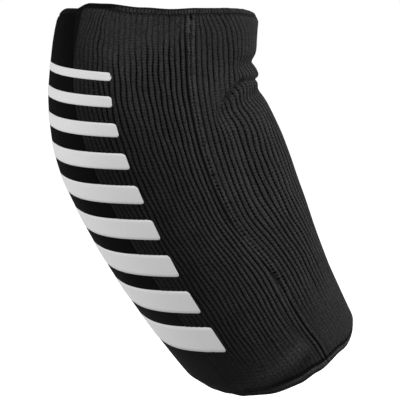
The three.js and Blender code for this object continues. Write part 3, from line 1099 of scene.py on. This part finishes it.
def print_bar(middle, thickness):
    """Points of one bar's film, a rounded strip: its face, and its foot sunk to the knit."""
    half_width = math.radians(PRINT_HALF_ANGLE) * MEAN_RADIUS
    corner = np.linspace(0, 1, CORNER_POINTS) ** 2 * PRINT_CORNER
    inner = np.linspace(-1, 1, LENGTH_POINTS)[1:-1] * (half_width - PRINT_CORNER)
    along_bar = np.concatenate([corner - half_width, inner, (half_width - corner)[::-1]])
    into_corner = np.clip(np.abs(along_bar) - half_width + PRINT_CORNER, 0, PRINT_CORNER)
    half = thickness / 2 - PRINT_CORNER + np.sqrt(PRINT_CORNER**2 - into_corner**2)
    a, r = np.meshgrid(along_bar / half_width, np.linspace(-1, 1, WIDTH_POINTS), indexing="ij")
    angle = a * PRINT_HALF_ANGLE
    rise, fall = rim_offsets(angle)
    share = (middle + PRINT_SLANT * a + r * half[:, None] + rise) / (LENGTH + rise + fall)
    rim = (np.abs(a) == 1) | (np.abs(r) == 1)
    height, depth = print_heights(angle, share)
    face = lifted(angle, share, height + PRINT_FILM * np.where(rim, FILM_EDGE, 1.0))
    return face, lifted(angle, share, depth), angle, share


def print_piece():
    points, faces, uv, count = [], [], [], 0
    place = PRINT_START
    for k in range(PRINT_BARS):
        thickness = between(*PRINT_THICKNESS, k / (PRINT_BARS - 1))
        face, foot, angle, share = print_bar(place + thickness / 2, thickness)
        place += thickness + PRINT_GAP
        top = np.arange(angle.size).reshape(angle.shape) + count
        faces += wall_faces(top, top + angle.size)
        points += [face.reshape(-1, 3), foot.reshape(-1, 3)]
        uv += [np.stack([angle.ravel(), share.ravel()], -1)] * 2
        count += 2 * angle.size
    piece = new_piece("printed_bars", np.concatenate(points), faces, {}, np.concatenate(uv))
    piece.data.materials.append(print_white)
    return piece


print_bars = print_piece()

# What stands for what
REPLACED = {
    "pad_panel": (pad, "pad_knit"),
    "side_panel_near": (side_near, "rib_knit"),
    "side_panel_far": (side_far, "rib_knit"),
    "back_panel": (back, "rib_knit"),
    "side_seam_near": (seam_near, "rib_knit"),
    "side_seam_far": (seam_far, "rib_knit"),
    "top_hem": (top_hem, "hem_knit"),
    "bottom_hem": (bottom_hem, "hem_knit"),
}
for node, (piece, slot) in REPLACED.items():
    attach(piece, "root")
    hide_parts(node)
for piece in (top_stitches, bottom_stitches, near_stitches, far_stitches, print_bars):
    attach(piece, "root")

# The stage, the lights and the camera
FLOOR_DROP = 0.03
FLOOR_HALF = 12.0
FLOOR_GLOW = 0.7
SURROUND_SEEN = 1.0
SURROUND_SHED = 0.4
CAMERA_ANGLES = (-20.0, 6.0)
CAMERA_DISTANCE = 0.9
CAMERA_LENS = 135.0
CAMERA_AIM = Vector((0.004, 0.0, -0.001))

# Azimuth, elevation, distance, size and power of each light
LIGHTS = {
    "key": (48, 45, 1.1, 0.7, 8),
    "fill": (-80, 20, 1.2, 0.8, 6.5),
}


def direction(azimuth, elevation):
    """The way from the object to a place round it: azimuth 0 is on the -Y side, 90 on the +X side."""
    a, e = math.radians(azimuth), math.radians(elevation)
    return Vector((math.sin(a) * math.cos(e), -math.cos(a) * math.cos(e), math.sin(e)))


def face_centre(thing, way):
    """Turns a light or camera that lies this way from the object to look back at it."""
    thing.rotation_mode = "QUATERNION"
    thing.rotation_quaternion = (-way).to_track_quat("-Z", "Y")


def floor_piece():
    """A white floor with a glow of its own, kept from lighting the sleeve."""
    make = Finish("floor_paper")
    colour = make.mix(make.grain(PAPER_GRAIN), *PAPER)
    glow = {"Emission_Color": WHITE, "Emission_Strength": FLOOR_GLOW}
    make.shade(colour, Roughness=0.9, Specular_IOR_Level=0.1, **glow)
    half, height = FLOOR_HALF, cad_low.z - FLOOR_DROP
    corners = [(-half, -half, height), (half, -half, height), (half, half, height), (-half, half, height)]
    mesh = bpy.data.meshes.new("floor")
    mesh.from_pydata(corners, [], [(0, 1, 2, 3)])
    mesh.materials.append(make.material)
    floor = placed("floor", mesh)
    floor.visible_diffuse = False
    return floor


def area_light(name, azimuth, elevation, distance, size, power):
    light = bpy.data.lights.new(name, "AREA")
    light.shape = "DISK"
    light.size = size
    light.energy = power
    lamp = placed(name, light)
    way = direction(azimuth, elevation)
    lamp.location = way * distance
    face_centre(lamp, way)


def white_surround():
    """A world that looks white and sheds soft light."""
    world = bpy.data.worlds.new("surround")
    world.use_nodes = True
    world.node_tree.nodes.clear()
    make = Maker(world.node_tree)
    seen = make.add("ShaderNodeLightPath")["Is Camera Ray"]
    strength = make.line(seen, SURROUND_SEEN - SURROUND_SHED, SURROUND_SHED)
    light = make.add("ShaderNodeBackground", {"Color": WHITE, "Strength": strength})
    make.add("ShaderNodeOutputWorld", {"Surface": light[0]})
    bpy.context.scene.world = world


floor_piece()
white_surround()
for light_name, light_sizes in LIGHTS.items():
    area_light(light_name, *light_sizes)

lens = bpy.data.cameras.new("camera")
lens.lens = CAMERA_LENS
camera = placed("camera", lens)
camera_way = direction(*CAMERA_ANGLES)
camera.location = CAMERA_AIM + camera_way * CAMERA_DISTANCE
face_centre(camera, camera_way)
bpy.context.scene.camera = camera
bpy.context.scene.view_settings.view_transform = "Standard"
